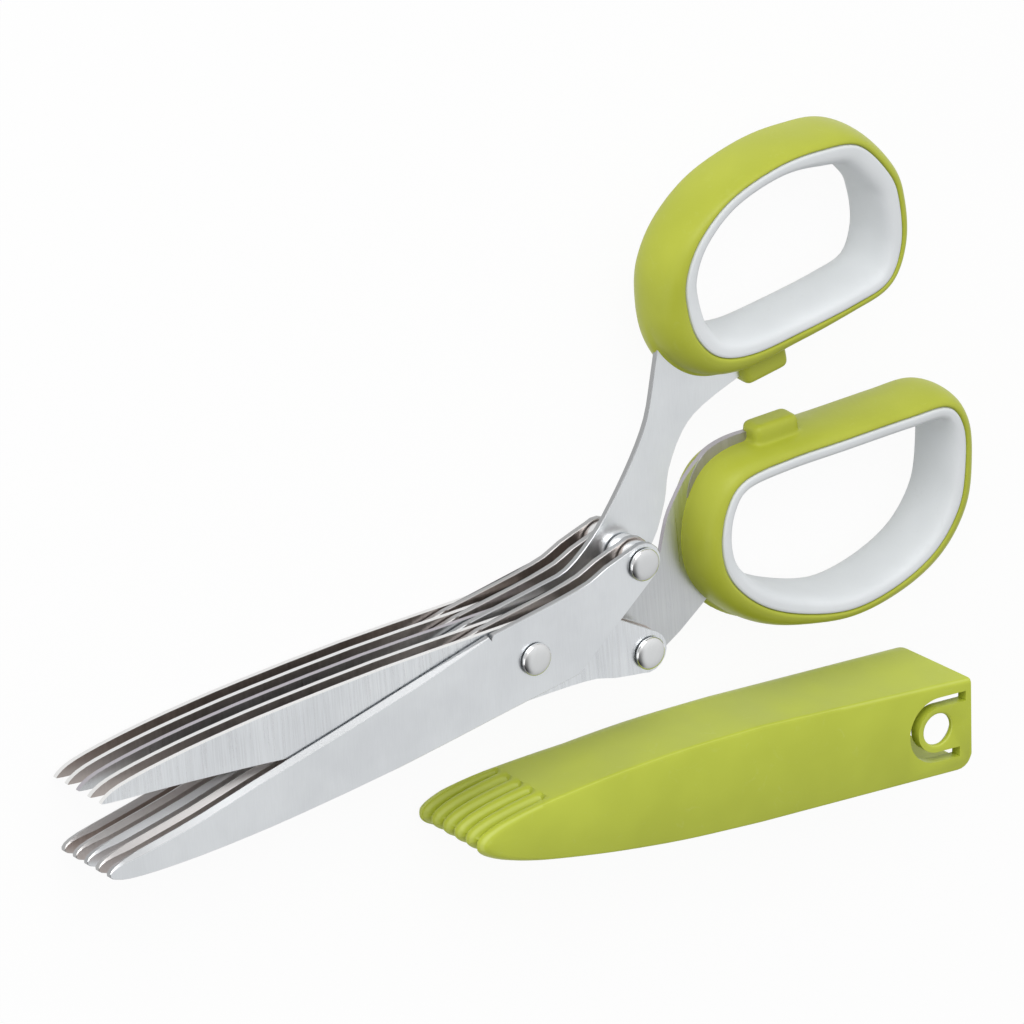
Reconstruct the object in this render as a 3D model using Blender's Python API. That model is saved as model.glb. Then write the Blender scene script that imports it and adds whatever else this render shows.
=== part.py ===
# Herb scissors with five pairs of blades, two lined handles and a blade cover with a cleaning comb.
# Metres, +Z up. The scissors lie on their back: the origin is on the pivot axis, on the resting plane.
# Each half is drawn closed, with its blades along -X, and is then turned to its place.

import math

import bmesh
import bpy
from mathutils import Vector

for item in list(bpy.data.objects):
    bpy.data.objects.remove(item, do_unlink=True)

mm = 0.001

# How the set lies: the turn of each half from closed, and the slant of the cover beside them
thumb_opening = 4.0
finger_opening = 4.4
cover_slant = -9.0

# Blade stack: every thumb blade shears against the finger blade right behind it
pair_count = 5
blade_thickness = 1.1 * mm
pair_pitch = 3.6 * mm
running_gap = 0.3 * mm

# Blade, from the pivot to the tip and from the pivot line to the spine and the heel
blade_reach = 98.5 * mm
spine_depth = 7.7 * mm
heel_height = 8.8 * mm
heel_distance = 8.8 * mm
heel_notch = 0.9 * mm
edge_bevel = 0.9 * mm
edge_land = 0.18 * mm
edge_run_out = 7.0 * mm
rim_chamfer = 0.12 * mm
thumb_edge_shares = [
    (0.42, 0.655), (0.55, 0.53), (0.65, 0.44), (0.77, 0.30), (0.88, 0.225), (0.96, 0.175), (0.993, 0.09)]
finger_edge_shares = [
    (0.42, 0.63), (0.56, 0.40), (0.67, 0.275), (0.79, 0.155), (0.89, 0.075), (0.965, 0.02), (0.995, -0.015)]
spine_shares = [
    (1.0, 0.05), (0.985, 0.19), (0.955, 0.33), (0.89, 0.49), (0.79, 0.66), (0.68, 0.79), (0.56, 0.89),
    (0.33, 1.0), (0.10, 1.0)]

# Blade tail, which ends in a round boss on the rear rivet
rear_rivet_reach = 27.6 * mm
rear_rivet_angle = 16.0
boss_radius = 4.1 * mm
boss_end_angle = 112.0
tail_slope = 31.0
tail_rise_shares = [(0.19, 0.38), (0.315, 0.82), (0.50, 0.97), (0.74, 0.99)]
quarter_turn = 90.0

# Rivets, with the washers and spacers that they pass through
rivet_radius = 1.8 * mm
rivet_head_radius = 3.4 * mm
rivet_head_height = 1.1 * mm
rivet_tail_radius = 2.7 * mm
rivet_tail_height = 0.8 * mm
rivet_head_shares = [(1.0, 0.0), (1.0, 0.40), (0.93, 0.72), (0.78, 0.92), (0.55, 1.0)]
washer_radius = 4.6 * mm
spacer_radius = 3.7 * mm
seat_gap = 0.3 * mm

# Handle loops: the seat between shell and liner, from the pivot, with the halves closed
thumb_loop_x = 71.4 * mm
thumb_loop_y = 53.8 * mm
thumb_loop_length = 48.8 * mm
thumb_loop_width = 34.0 * mm
finger_loop_x = 72.3 * mm
finger_loop_y = 4.1 * mm
finger_loop_length = 56.0 * mm
finger_loop_width = 34.0 * mm
thumb_loop_shares = [
    (-0.45, 0.90), (-0.78, 0.62), (-0.96, 0.26), (-1.0, -0.10), (-0.96, -0.50), (-0.80, -0.83),
    (-0.50, -0.99), (-0.05, -1.02), (0.45, -1.02), (0.78, -0.95), (0.95, -0.60), (1.0, -0.12),
    (0.96, 0.27), (0.74, 0.77), (0.40, 0.94), (0.0, 1.0)]
finger_loop_shares = [
    (-0.45, 1.0), (-0.80, 0.93), (-0.95, 0.66), (-1.0, 0.22), (-0.93, -0.20), (-0.70, -0.60),
    (-0.38, -0.865), (0.02, -1.015), (0.40, -0.92), (0.72, -0.66), (0.92, -0.24), (0.985, 0.26),
    (0.98, 0.70), (0.86, 0.97), (0.55, 1.0), (0.05, 1.0)]

# Loop sections: a rounded shell, thickest towards the pivot, on a liner that swells inwards
loop_depth = 13.8 * mm
loop_rise = 0.6 * mm
thumb_shell_near = 6.5 * mm
finger_shell_near = 5.7 * mm
shell_far = 2.4 * mm
shell_rim = 1.4 * mm
shell_fullness = 0.85
liner_thickness = 2.8 * mm
liner_rim = 1.0 * mm
liner_fullness = 0.6

# Shanks of the middle plates, and their tangs inside the shells
tang_wall = 1.3 * mm
tang_end_share = 0.6
thumb_tang_angles = (190.0, 240.0)
finger_tang_angles = (160.0, 234.0)
thumb_outer_shares = [(0.13, -0.045), (0.31, 0.018), (0.44, 0.096), (0.62, 0.145), (0.77, 0.12)]
thumb_inner_shares = [(0.14, -0.062), (0.29, -0.092), (0.48, -0.110), (0.64, -0.105), (0.80, -0.062)]
finger_outer_shares = [
    (0.10, 0.155), (0.235, 0.235), (0.355, 0.243), (0.445, 0.205), (0.54, 0.08), (0.61, 0.02),
    (0.68, -0.025), (0.76, -0.052), (0.85, -0.056)]
finger_inner_shares = [(0.145, 0.063), (0.255, 0.136), (0.355, 0.172), (0.62, 0.185)]

# Stop nubs between the handles
thumb_nub_centre = 63.0 * mm
finger_nub_centre = 60.7 * mm
nub_length = 10.0 * mm
nub_depth = 5.4 * mm
nub_round = 0.9 * mm
nub_entry = 2.3 * mm
stop_share = 0.43
stop_clearance = 0.5 * mm

# Blade cover: a tube for the closed blades, with a snap hole that catches the crown of the pivot rivet
cover_x = 84.2 * mm
cover_y = -47.7 * mm
cover_clearance = 0.2 * mm
cover_tip_room = 2.3 * mm
cover_side_wall = 0.8 * mm
cover_face_wall = 1.4 * mm
cover_nose_wall = 3.9 * mm
cover_mouth = 7.5 * mm
cover_mouth_round = 3.5 * mm
cover_head_room = 0.9 * mm
cover_tail_room = 0.5 * mm
cover_low_round = 3.0 * mm
cover_high_round = 1.2 * mm
cavity_round = 0.6 * mm
cover_outline_shares = [
    (0.38, 1.0), (0.53, 0.955), (0.64, 0.875), (0.745, 0.76), (0.865, 0.58), (0.94, 0.405), (0.98, 0.25),
    (0.997, 0.115)]
cavity_outline_shares = [
    (0.14, 1.0), (0.33, 0.955), (0.55, 0.865), (0.68, 0.765), (0.79, 0.655), (0.89, 0.505), (0.95, 0.36),
    (0.985, 0.25), (1.0, 0.10)]

# Comb in the nose of the cover, with one groove for each blade pair
comb_side_depth = 0.75 * mm
comb_nose_depth = 2.0 * mm
comb_mouth_width = 2.7 * mm
comb_throat_width = 1.4 * mm
comb_floor_width = 0.8 * mm
comb_throat_share = 0.35
comb_run_in = 0.8 * mm
comb_start_share = 0.818
comb_nose_share = 0.93

# Snap tab round the hole in the cover
tab_slit_radius = 5.8 * mm
tab_slit_width = 1.2 * mm
tab_root = 1.9 * mm
snap_hole_radius = 3.1 * mm
snap_hole_sink = 0.3 * mm

# Fineness of the curves, and how far cutters run past what they cut
overrun = 2.0 * mm
weld = 0.001 * mm
loop_stations = 56
section_steps = 8
round_steps = 16
edge_steps = 2
shank_steps = 3
corner_angle = 32.0

# Heights from the resting plane
stack_low = rivet_tail_height + seat_gap
pair_height = 2 * blade_thickness + running_gap
stack_high = stack_low + (pair_count - 1) * pair_pitch + pair_height
middle_pair = (pair_count + 1) // 2
loop_middle = stack_low + (pair_count - middle_pair) * pair_pitch + pair_height / 2 + loop_rise

finishes = {
    "steel": ((0.60, 0.62, 0.64), 0.28, 1.0),
    "rivet": ((0.66, 0.67, 0.68), 0.22, 1.0),
    "green": ((0.42, 0.52, 0.06), 0.36, 0.0),
    "white": ((0.78, 0.80, 0.81), 0.50, 0.0),
}


def on_circle(radius, degrees, centre=(0, 0)):
    turn = math.radians(degrees)
    return (centre[0] + radius * math.cos(turn), centre[1] + radius * math.sin(turn))


def arc(centre, radius, start, end, steps):
    return [on_circle(radius, start + (end - start) * i / steps, centre) for i in range(steps + 1)]


def along(start, end, shares):
    # Points between two ends: shares of the way, and of its length to the left of it
    way = (end[0] - start[0], end[1] - start[1])
    return [(start[0] + way[0] * u - way[1] * v, start[1] + way[1] * u + way[0] * v) for u, v in shares]


def smooth(points, steps, closed=False):
    # Catmull-Rom curve through the points
    count = len(points)
    curve = []
    for i in range(count if closed else count - 1):
        if closed:
            a, b, c, d = (points[(i + k - 1) % count] for k in range(4))
        else:
            a, b, c, d = (points[min(max(i + k - 1, 0), count - 1)] for k in range(4))
        for step in range(steps):
            t = step / steps
            place = []
            for k in range(2):
                pull = 2 * a[k] - 5 * b[k] + 4 * c[k] - d[k]
                swing = 3 * b[k] - a[k] - 3 * c[k] + d[k]
                place.append(b[k] + 0.5 * ((c[k] - a[k]) * t + pull * t ** 2 + swing * t ** 3))
            curve.append(tuple(place))
    if not closed:
        curve.append(points[-1])
    return curve


def evenly(curve, count):
    # The closed curve again, with its points at equal steps
    ring = curve + curve[:1]
    lengths = [0]
    for a, b in zip(ring, ring[1:]):
        lengths.append(lengths[-1] + math.dist(a, b))
    points = []
    at = 0
    for i in range(count):
        goal = lengths[-1] * i / count
        while lengths[at + 1] < goal:
            at += 1
        t = (goal - lengths[at]) / (lengths[at + 1] - lengths[at])
        points.append(tuple(ring[at][k] + (ring[at + 1][k] - ring[at][k]) * t for k in range(2)))
    return points


def outward(outline):
    # Mitred outward steps at the points of a closed anticlockwise outline
    steps = []
    for i, point in enumerate(outline):
        after = outline[(i + 1) % len(outline)]
        before = outline[i - 1]
        first = Vector((point[1] - before[1], before[0] - point[0])).normalized()
        second = Vector((after[1] - point[1], point[0] - after[0])).normalized()
        middle = (first + second).normalized()
        steps.append(middle / max(middle.dot(first), 0.5))
    return steps


def offset(outline, distances):
    if not isinstance(distances, list):
        distances = [distances] * len(outline)
    return [(p[0] + n.x * d, p[1] + n.y * d) for p, n, d in zip(outline, outward(outline), distances)]


def mirrored(outline):
    return [(x, -y) for x, y in reversed(outline)]


def at_height(outline, z):
    return [(x, y, z) for x, y in outline]


def find_material(name):
    found = bpy.data.materials.get(name)
    if found:
        return found
    colour, roughness, metallic = finishes[name]
    made = bpy.data.materials.new(name)
    made.use_nodes = True
    shader = made.node_tree.nodes["Principled BSDF"]
    shader.inputs["Base Color"].default_value = (*colour, 1)
    shader.inputs["Roughness"].default_value = roughness
    shader.inputs["Metallic"].default_value = metallic
    return made


def add_object(name, shape, finish, parent):
    # A finish makes a visible part, and no finish makes a cutter
    bmesh.ops.recalc_face_normals(shape, faces=shape.faces)
    mesh = bpy.data.meshes.new(name)
    shape.to_mesh(mesh)
    shape.free()
    mesh.shade_smooth()
    mesh.set_sharp_from_angle(angle=math.radians(corner_angle))
    made = bpy.data.objects.new(name, mesh)
    bpy.context.scene.collection.objects.link(made)
    made.parent = parent
    if finish:
        mesh.materials.append(find_material(finish))
    else:
        made.hide_render = True
        made.display_type = "WIRE"
    return made


def add_place(name, degrees, x=0, y=0):
    made = bpy.data.objects.new(name, None)
    bpy.context.scene.collection.objects.link(made)
    made.location = (x, y, 0)
    made.rotation_euler = (0, 0, math.radians(degrees))
    return made


def combine(body, tool, operation):
    modifier = body.modifiers.new(tool.name, "BOOLEAN")
    modifier.object = tool
    modifier.operation = operation
    modifier.solver = "EXACT"


def skin(shape, rings, ends_filled):
    # Faces between rings of points, which either end in caps or close on themselves
    rows = [[shape.verts.new(point) for point in ring] for ring in rings]
    following_rows = rows[1:] if ends_filled else rows[1:] + rows[:1]
    for row, following in zip(rows, following_rows):
        for i in range(len(row)):
            j = (i + 1) % len(row)
            shape.faces.new((row[i], row[j], following[j], following[i]))
    if ends_filled:
        shape.faces.new(rows[0])
        shape.faces.new(rows[-1])


def skinned(name, rings, ends_filled, finish, parent):
    shape = bmesh.new()
    skin(shape, rings, ends_filled)
    return add_object(name, shape, finish, parent)


def prism(name, outline, low, high, finish, parent):
    shape = bmesh.new()
    base = shape.faces.new([shape.verts.new(point) for point in at_height(outline, low)])
    grown = bmesh.ops.extrude_face_region(shape, geom=[base])["geom"]
    raised = [item for item in grown if isinstance(item, bmesh.types.BMVert)]
    bmesh.ops.translate(shape, verts=raised, vec=(0, 0, high - low))
    return add_object(name, shape, finish, parent)


def turned(name, profile, centre, finish, parent):
    # Solid of revolution about an upright axis, from a closed profile of radii and heights
    shape = bmesh.new()
    verts = [shape.verts.new((centre[0] + r, centre[1], z)) for r, z in profile]
    edges = [shape.edges.new(pair) for pair in zip(verts, verts[1:])]
    if profile[0][0] > 0:
        edges.append(shape.edges.new((verts[-1], verts[0])))
    bmesh.ops.spin(shape, geom=verts + edges, cent=(*centre, 0), axis=(0, 0, 1), angle=math.tau,
                   steps=round_steps, use_merge=True)
    bmesh.ops.remove_doubles(shape, verts=shape.verts, dist=weld)
    return add_object(name, shape, finish, parent)


# Places shared by the pieces of a half, with the halves closed

rear_rivet = on_circle(rear_rivet_reach, rear_rivet_angle)
boss_start_angle = tail_slope - quarter_turn
boss_low = on_circle(boss_radius, boss_start_angle, rear_rivet)
boss_end = on_circle(boss_radius, boss_end_angle, rear_rivet)
tail_run = (boss_low[1] + spine_depth) / math.tan(math.radians(tail_slope))
tail_corner = (boss_low[0] - tail_run, -spine_depth)
heel = (-heel_distance, heel_height)
notch_low = (heel[0] + heel_notch / 2, heel_height - heel_notch)
notch_end = (heel[0] + heel_notch, heel_height)
tail_rise = [(boss_end[0] + (notch_end[0] - boss_end[0]) * u, boss_end[1] + (notch_end[1] - boss_end[1]) * v)
             for u, v in tail_rise_shares]


def loop_seat(centre, length, width, shares):
    points = [(centre[0] + u * length / 2, centre[1] + v * width / 2) for u, v in shares]
    return evenly(smooth(points, 8, closed=True), loop_stations)


def shell_thicknesses(seat, centre, shell_near):
    to_pivot = Vector((-centre[0], -centre[1])).normalized()
    result = []
    for x, y in seat:
        facing = Vector((x - centre[0], y - centre[1])).normalized().dot(to_pivot)
        swell = ((1 + facing) / 2) ** 4
        result.append(shell_far + (shell_near - shell_far) * swell)
    return result


thumb_centre = (thumb_loop_x, thumb_loop_y)
finger_centre = (finger_loop_x, finger_loop_y)
thumb_seat = loop_seat(thumb_centre, thumb_loop_length, thumb_loop_width, thumb_loop_shares)
finger_seat = loop_seat(finger_centre, finger_loop_length, finger_loop_width, finger_loop_shares)
thumb_thickness = shell_thicknesses(thumb_seat, thumb_centre, thumb_shell_near)
finger_thickness = shell_thicknesses(finger_seat, finger_centre, finger_shell_near)
thumb_low = thumb_loop_y - thumb_loop_width / 2
finger_high = finger_loop_y + finger_loop_width / 2
stop_line = finger_high + (thumb_low - finger_high) * stop_share


def edge_share(point):
    # The bevel is full along the cutting edge and runs out at the heel and the tip
    from_heel = (-heel_distance - point[0]) / edge_run_out
    from_tip = (blade_reach + point[0]) / edge_run_out
    return max(0, min(1, from_heel, from_tip))


def with_blade(tail, edge_shares):
    # Adds the notch, the cutting edge and the spine to a tail, and marks how far each point is bevelled
    edge = [heel] + [(-blade_reach * u, heel_height * v) for u, v in edge_shares]
    spine = [(-blade_reach * u, -spine_depth * v) for u, v in spine_shares] + [tail_corner]
    curve = smooth(edge + spine, edge_steps)
    outline = tail + [notch_low] + curve
    first = len(tail) + 1
    last = first + (len(edge) - 1) * edge_steps
    return outline, [edge_share(p) if first <= i <= last else 0 for i, p in enumerate(outline)]


def blade_outline(edge_shares):
    boss = arc(rear_rivet, boss_radius, boss_start_angle, boss_end_angle, round_steps // 2)
    rise = smooth([boss_end] + tail_rise + [notch_end], 2)
    return with_blade(boss + rise[1:], edge_shares)


def tang_outline(seat, centre, thicknesses, angles):
    # The buried edge of a tang, against the turn of the outline, and its last point towards the rear rivet
    near = offset(seat, tang_wall)
    ends = offset(seat, [thickness * tang_end_share for thickness in thicknesses])
    turns = [math.degrees(math.atan2(y - centre[1], x - centre[0])) % 360 for x, y in seat]
    chosen = [i for i, turn in enumerate(turns) if angles[0] <= turn <= angles[1]]
    chosen.sort(key=lambda i: -turns[i])
    return [near[i] for i in chosen], ends[chosen[-1]]


def thumb_shank():
    entry = (thumb_nub_centre - nub_length / 2 + nub_entry, stop_line + nub_entry)
    outer = smooth([boss_low] + along(boss_low, entry, thumb_outer_shares) + [entry], shank_steps)
    tang, end = tang_outline(thumb_seat, thumb_centre, thumb_thickness, thumb_tang_angles)
    inner = [end] + along(tail_rise[1], end, thumb_inner_shares)[::-1]
    return outer, tang, inner


def finger_shank():
    # Drawn on the thumb side, like its blade, to be mirrored
    seat = mirrored(finger_seat)
    centre = (finger_centre[0], -finger_centre[1])
    thicknesses = shell_thicknesses(seat, centre, finger_shell_near)
    entry = (finger_nub_centre - nub_length / 2 + nub_entry, nub_entry - stop_line)
    outer = smooth([tail_corner] + along(tail_corner, entry, finger_outer_shares) + [entry], shank_steps)
    tang, end = tang_outline(seat, centre, thicknesses, finger_tang_angles)
    inner = [end] + along(tail_rise[1], end, finger_inner_shares)[::-1]
    return outer[1:], tang, inner


def shank_outline(shank, edge_shares):
    outer, tang, inner = shank
    return with_blade(outer + tang + smooth(inner + tail_rise[1:] + [notch_end], shank_steps), edge_shares)


def slot_outline(shank):
    outer, tang, inner = shank
    return offset(outer + tang + inner, seat_gap)


def blade_plate(name, outline, shares, low, bevel_up, parent, bores):
    flat = low if bevel_up else low + blade_thickness
    far = low + blade_thickness if bevel_up else low
    rise = 1 if bevel_up else -1
    widths = [-rim_chamfer - (edge_bevel - rim_chamfer) * share for share in shares]
    drops = [rim_chamfer + (blade_thickness - edge_land - rim_chamfer) * share for share in shares]
    middle = [(x, y, far - rise * drop) for (x, y), drop in zip(outline, drops)]
    rings = [at_height(outline, flat), middle, at_height(offset(outline, widths), far)]
    made = skinned(name, rings, True, "steel", parent)
    for bore in bores:
        combine(made, bore, "DIFFERENCE")
    return made


def rivet_bore(name, centre, parent):
    circle = arc(centre, rivet_radius + seat_gap, 0, 360, round_steps)[:-1]
    return prism(name, circle, -overrun, stack_high + overrun, None, parent)


def spacer_ring(name, centre, radius, low, high, parent):
    inner = rivet_radius + seat_gap
    profile = [(inner, low), (radius, low), (radius, high), (inner, high)]
    return turned(name, profile, centre, "rivet", parent)


def rivet(name, centre, low, high, parent):
    # From the flat face of the tail to the head, which sits on the plate stack
    seat = high + seat_gap
    tail_top = low + rivet_tail_height
    profile = [(0, low), (rivet_tail_radius - rim_chamfer, low), (rivet_tail_radius, low + rim_chamfer),
               (rivet_tail_radius, tail_top), (rivet_radius, tail_top), (rivet_radius, seat)]
    profile += [(rivet_head_radius * u, seat + rivet_head_height * v) for u, v in rivet_head_shares]
    profile += [(0, seat + rivet_head_height)]
    return turned(name, profile, centre, "rivet", parent)


def swept(name, seat, sections, finish, parent):
    rings = []
    for point, step, section in zip(seat, outward(seat), sections):
        rings.append([(point[0] + step.x * d, point[1] + step.y * d, loop_middle + z) for d, z in section])
    return skinned(name, rings, False, finish, parent)


def rounded_section(base, rim, reach, fullness, side):
    # A flat face on the seat, flat rims, and a bulge between them on the given side
    half = loop_depth / 2
    section = [(side * base, -half), (side * base, half)]
    for i in range(section_steps + 1):
        turn = math.pi * i / section_steps
        lean = math.copysign(abs(math.cos(turn)) ** fullness, math.cos(turn))
        bulge = max(math.sin(turn), 0) ** fullness
        section.append((side * (rim + (reach - rim) * bulge), half * lean))
    return section


def shell(name, seat, thicknesses, parent):
    sections = [rounded_section(seat_gap / 2, shell_rim, t, shell_fullness, 1) for t in thicknesses]
    return swept(name, seat, sections, "green", parent)


def liner(name, seat, parent):
    section = rounded_section(seat_gap / 2, liner_rim, liner_thickness, liner_fullness, -1)
    return swept(name, seat, [section] * len(seat), "white", parent)


def nub(name, middle, low, high, parent):
    shape = bmesh.new()
    bmesh.ops.create_cube(shape, size=1)
    bmesh.ops.scale(shape, vec=(nub_length, high - low, nub_depth), verts=shape.verts)
    bmesh.ops.translate(shape, vec=(middle, (low + high) / 2, loop_middle), verts=shape.verts)
    bmesh.ops.bevel(shape, geom=shape.edges, offset=nub_round, segments=2, profile=0.5, affect="EDGES")
    return add_object(name, shape, None, parent)


# Halves, which turn about the pivot axis

thumb_half = add_place("thumb_half", thumb_opening)
finger_half = add_place("finger_half", -finger_opening)
finger_rivet_place = (rear_rivet[0], -rear_rivet[1])

thumb_bores = [rivet_bore("thumb_pivot_bore", (0, 0), thumb_half),
               rivet_bore("thumb_rear_bore", rear_rivet, thumb_half)]
finger_bores = [rivet_bore("finger_pivot_bore", (0, 0), finger_half),
                rivet_bore("finger_rear_bore", finger_rivet_place, finger_half)]

thumb_lows = [stack_high - blade_thickness - i * pair_pitch for i in range(pair_count)]
finger_lows = [low - running_gap - blade_thickness for low in thumb_lows]
thumb_plain = blade_outline(thumb_edge_shares)
finger_plain = blade_outline(finger_edge_shares)
thumb_middle = shank_outline(thumb_shank(), thumb_edge_shares)
finger_middle = shank_outline(finger_shank(), finger_edge_shares)

for i in range(pair_count):
    middle = i + 1 == middle_pair
    outline, edge = thumb_middle if middle else thumb_plain
    blade_plate(f"thumb_blade_{i + 1}", outline, edge, thumb_lows[i], True, thumb_half, thumb_bores)
    outline, edge = finger_middle if middle else finger_plain
    blade_plate(f"finger_blade_{i + 1}", mirrored(outline), edge[::-1], finger_lows[i], False, finger_half,
                finger_bores)

for i in range(pair_count - 1):
    next_thumb = thumb_lows[i + 1] + blade_thickness
    next_finger = finger_lows[i + 1] + blade_thickness
    spacer_ring(f"pivot_washer_{i + 1}", (0, 0), washer_radius, next_thumb + seat_gap,
                finger_lows[i] - seat_gap, finger_half)
    spacer_ring(f"thumb_spacer_{i + 1}", rear_rivet, spacer_radius, next_thumb + seat_gap,
                thumb_lows[i] - seat_gap, thumb_half)
    spacer_ring(f"finger_spacer_{i + 1}", finger_rivet_place, spacer_radius, next_finger + seat_gap,
                finger_lows[i] - seat_gap, finger_half)

rivet("pivot_rivet", (0, 0), 0, stack_high, finger_half)
rivet("thumb_rivet", rear_rivet, thumb_lows[-1] - seat_gap - rivet_tail_height, stack_high, thumb_half)
rivet("finger_rivet", finger_rivet_place, 0, finger_lows[0] + blade_thickness, finger_half)

# Handles

thumb_shell = shell("thumb_shell", thumb_seat, thumb_thickness, thumb_half)
thumb_nub = nub("thumb_nub", thumb_nub_centre, stop_line + stop_clearance / 2, thumb_low - tang_wall,
                thumb_half)
thumb_middle_low = thumb_lows[middle_pair - 1]
thumb_slot = prism("thumb_slot", slot_outline(thumb_shank()), thumb_middle_low - seat_gap,
                   thumb_middle_low + blade_thickness + seat_gap, None, thumb_half)
combine(thumb_shell, thumb_nub, "UNION")
combine(thumb_shell, thumb_slot, "DIFFERENCE")
liner("thumb_liner", thumb_seat, thumb_half)

finger_shell = shell("finger_shell", finger_seat, finger_thickness, finger_half)
finger_nub = nub("finger_nub", finger_nub_centre, finger_high + tang_wall, stop_line - stop_clearance / 2,
                 finger_half)
finger_middle_low = finger_lows[middle_pair - 1]
finger_slot = prism("finger_slot", mirrored(slot_outline(finger_shank())), finger_middle_low - seat_gap,
                    finger_middle_low + blade_thickness + seat_gap, None, finger_half)
combine(finger_shell, finger_nub, "UNION")
combine(finger_shell, finger_slot, "DIFFERENCE")
liner("finger_liner", finger_seat, finger_half)

# Blade cover, drawn as it would lie round the closed blades

cavity_half = heel_height + cover_clearance
cover_half = cavity_half + cover_side_wall
cavity_reach = blade_reach + cover_tip_room
cover_reach = cavity_reach + cover_nose_wall
cavity_low = cover_face_wall
cavity_high = cavity_low + (stack_high - stack_low) + cover_tail_room + cover_head_room
cover_high = cavity_high + cover_face_wall


def tube_outline(half, reach, mouth, shares, nose):
    top = [(-reach * u, half * v) for u, v in shares]
    low = [(x, -y) for x, y in reversed(top)]
    return [(mouth, -half), (mouth, half)] + smooth(top + nose + low, 2)


def rounded_rings(outline, low, high, low_round, high_round, steps):
    # An upright tube with its two rims rounded
    rings = []
    for i in range(steps + 1):
        turn = math.pi / 2 * i / steps
        rings.append((-low_round * (1 - math.sin(turn)), low + low_round * (1 - math.cos(turn))))
    for i in range(steps + 1):
        turn = math.pi / 2 * i / steps
        rings.append((-high_round * (1 - math.cos(turn)), high - high_round * (1 - math.sin(turn))))
    return [at_height(offset(outline, inset), z) for inset, z in rings]


def comb(name, outline, parent):
    # Grooves round the nose: deepest at the nose, with rounded shoulders and a narrow floor
    wide = cover_half + overrun
    start = -cover_reach * comb_start_share
    nose = [(p, n) for p, n in zip(outline, outward(outline)) if p[0] <= start]
    side = [(comb_mouth_width / 2, 0), (comb_throat_width / 2, comb_throat_share), (comb_floor_width / 2, 1)]
    levels = [(-height, share) for height, share in side] + side[::-1]
    shape = bmesh.new()
    for i in range(pair_count):
        middle = cover_high / 2 + (i - (pair_count - 1) / 2) * pair_pitch
        rings = []
        for height, depth_share in levels:
            points = []
            for (x, y), step in nose:
                run_in = min(1, (start - x) / comb_run_in)
                to_nose = max(0, (-x / cover_reach - comb_nose_share) / (1 - comb_nose_share))
                depth = comb_side_depth + (comb_nose_depth - comb_side_depth) * min(1, to_nose)
                reach = seat_gap - (depth + seat_gap) * run_in * depth_share
                points.append((x + step.x * reach, y + step.y * reach))
            points += [(start, -wide), (-cover_reach - overrun, -wide), (-cover_reach - overrun, wide),
                       (start, wide)]
            rings.append(at_height(points, middle + height))
        skin(shape, rings, True)
    return add_object(name, shape, None, parent)


cover_place = add_place("cover_place", cover_slant, cover_x, cover_y)
cover_outline = tube_outline(cover_half, cover_reach, cover_mouth + overrun, cover_outline_shares,
                             [(-cover_reach, 0)])
cavity_outline = tube_outline(cavity_half, cavity_reach, cover_mouth + 2 * overrun, cavity_outline_shares,
                              [])

cover_shape = bmesh.new()
skin(cover_shape, rounded_rings(cover_outline, 0, cover_high, cover_low_round, cover_high_round, 3), True)
whole_cover = cover_shape.verts[:] + cover_shape.edges[:] + cover_shape.faces[:]
cut = bmesh.ops.bisect_plane(cover_shape, geom=whole_cover, plane_co=(cover_mouth, 0, 0), plane_no=(1, 0, 0),
                             clear_outer=True)
mouth_edges = [item for item in cut["geom_cut"] if isinstance(item, bmesh.types.BMEdge)]
bmesh.ops.contextual_create(cover_shape, geom=mouth_edges)
blade_cover = add_object("blade_cover", cover_shape, "green", cover_place)
cavity_rings = rounded_rings(cavity_outline, cavity_low, cavity_high, cavity_round, cavity_round, 2)
cover_cavity = skinned("cover_cavity", cavity_rings, True, None, cover_place)

slit_outer = tab_slit_radius + tab_slit_width / 2
slit_inner = tab_slit_radius - tab_slit_width / 2
slit_end = cover_mouth - tab_root
slit_points = [(slit_end, -slit_outer), (slit_end, -slit_inner)]
slit_points += arc((0, 0), slit_inner, 270, 90, round_steps // 2)
slit_points += [(slit_end, slit_inner), (slit_end, slit_outer)]
slit_points += arc((0, 0), slit_outer, 90, 270, round_steps // 2)
tab_slit = prism("tab_slit", slit_points, cavity_high - overrun, cover_high + overrun, None, cover_place)
sink_radius = snap_hole_radius + snap_hole_sink
snap_hole = turned("snap_hole", [
    (0, cavity_high - overrun), (snap_hole_radius, cavity_high - overrun),
    (snap_hole_radius, cover_high - snap_hole_sink), (sink_radius, cover_high),
    (sink_radius, cover_high + overrun), (0, cover_high + overrun)], (0, 0), None, cover_place)
mouth_corner = arc((cover_mouth - cover_mouth_round, cover_mouth_round), cover_mouth_round, 270, 360,
                   round_steps // 4)
mouth_corner += [(cover_mouth + overrun, cover_mouth_round), (cover_mouth + overrun, -overrun),
                 (cover_mouth - cover_mouth_round, -overrun)]
mouth_sides = (-cover_half - overrun, cover_half + overrun)
mouth_cutter = skinned("mouth_cutter", [[(x, y, z) for x, z in mouth_corner] for y in mouth_sides],
                       True, None, cover_place)
combine(blade_cover, cover_cavity, "DIFFERENCE")
combine(blade_cover, mouth_cutter, "DIFFERENCE")
combine(blade_cover, tab_slit, "DIFFERENCE")
combine(blade_cover, snap_hole, "DIFFERENCE")
combine(blade_cover, comb("comb_grooves", cover_outline, cover_place), "DIFFERENCE")
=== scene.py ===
import math

import bmesh
import bpy
from mathutils import Matrix, Vector
from mathutils.kdtree import KDTree


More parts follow.
